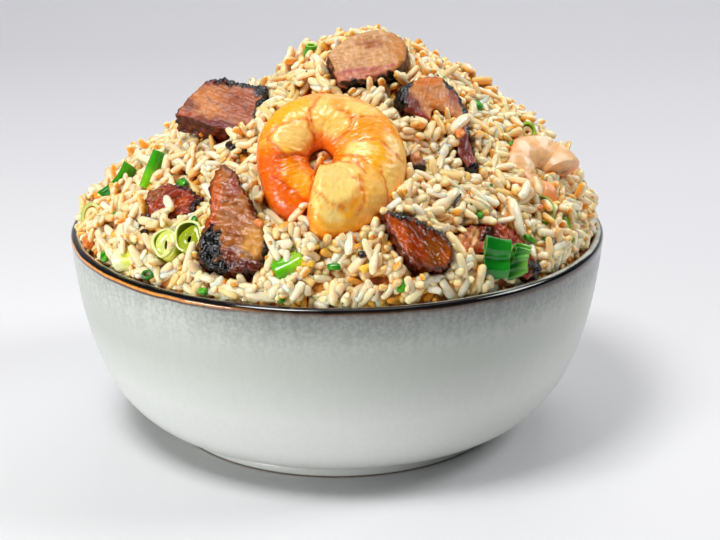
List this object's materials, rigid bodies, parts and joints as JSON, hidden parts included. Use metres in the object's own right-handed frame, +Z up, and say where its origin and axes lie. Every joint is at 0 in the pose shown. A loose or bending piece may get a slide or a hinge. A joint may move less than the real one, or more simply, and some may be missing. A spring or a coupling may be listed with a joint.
{
  "type": "bowl of fried rice",
  "caption": "Round footed stoneware bowl heaped with fried rice, topped with curled shrimp, roast pork slices and cut scallions.",
  "frame": {"origin": "centre of the bowl's footprint, on the surface it stands on", "axes": "+Z up out of the bowl, -Y towards the side that carries the toppings, +X to that side's right"},
  "size_m": [0.152, 0.152, 0.1171],
  "materials": {
    "glaze": "glossy pale celadon glaze with a dark line under the lip",
    "rice": "cooked rice grains, cream to golden, slightly oily",
    "shrimp": "moist, cream with orange bands",
    "pork": "roasted, tan inside with a red and blackened crust",
    "scallion": "moist cut leaf and stem, pale to dark green"
  },
  "bodies": {
    "root": {"bowl": "glaze", "rice": "rice", "shrimp_front": "shrimp", "shrimp_right": "shrimp", "pork_top": "pork", "pork_left": "pork", "pork_right": "pork", "pork_front_left": "pork", "pork_side": "pork", "pork_glazed": "pork", "pork_shred": "pork", "pork_bit": "pork", "scallion_pair": "scallion", "scallion_stem": "scallion", "scallion_leaf": "scallion", "scallion_fold": "scallion", "scallion_far_ring": "scallion", "scallion_front": "scallion", "scallion_dark": "scallion", "scallion_dark_small": "scallion", "scallion_right_ring": "scallion", "scallion_top": "scallion", "scallion_stick": "scallion", "scallion_thin_ring": "scallion"}
  },
  "joints": []
}
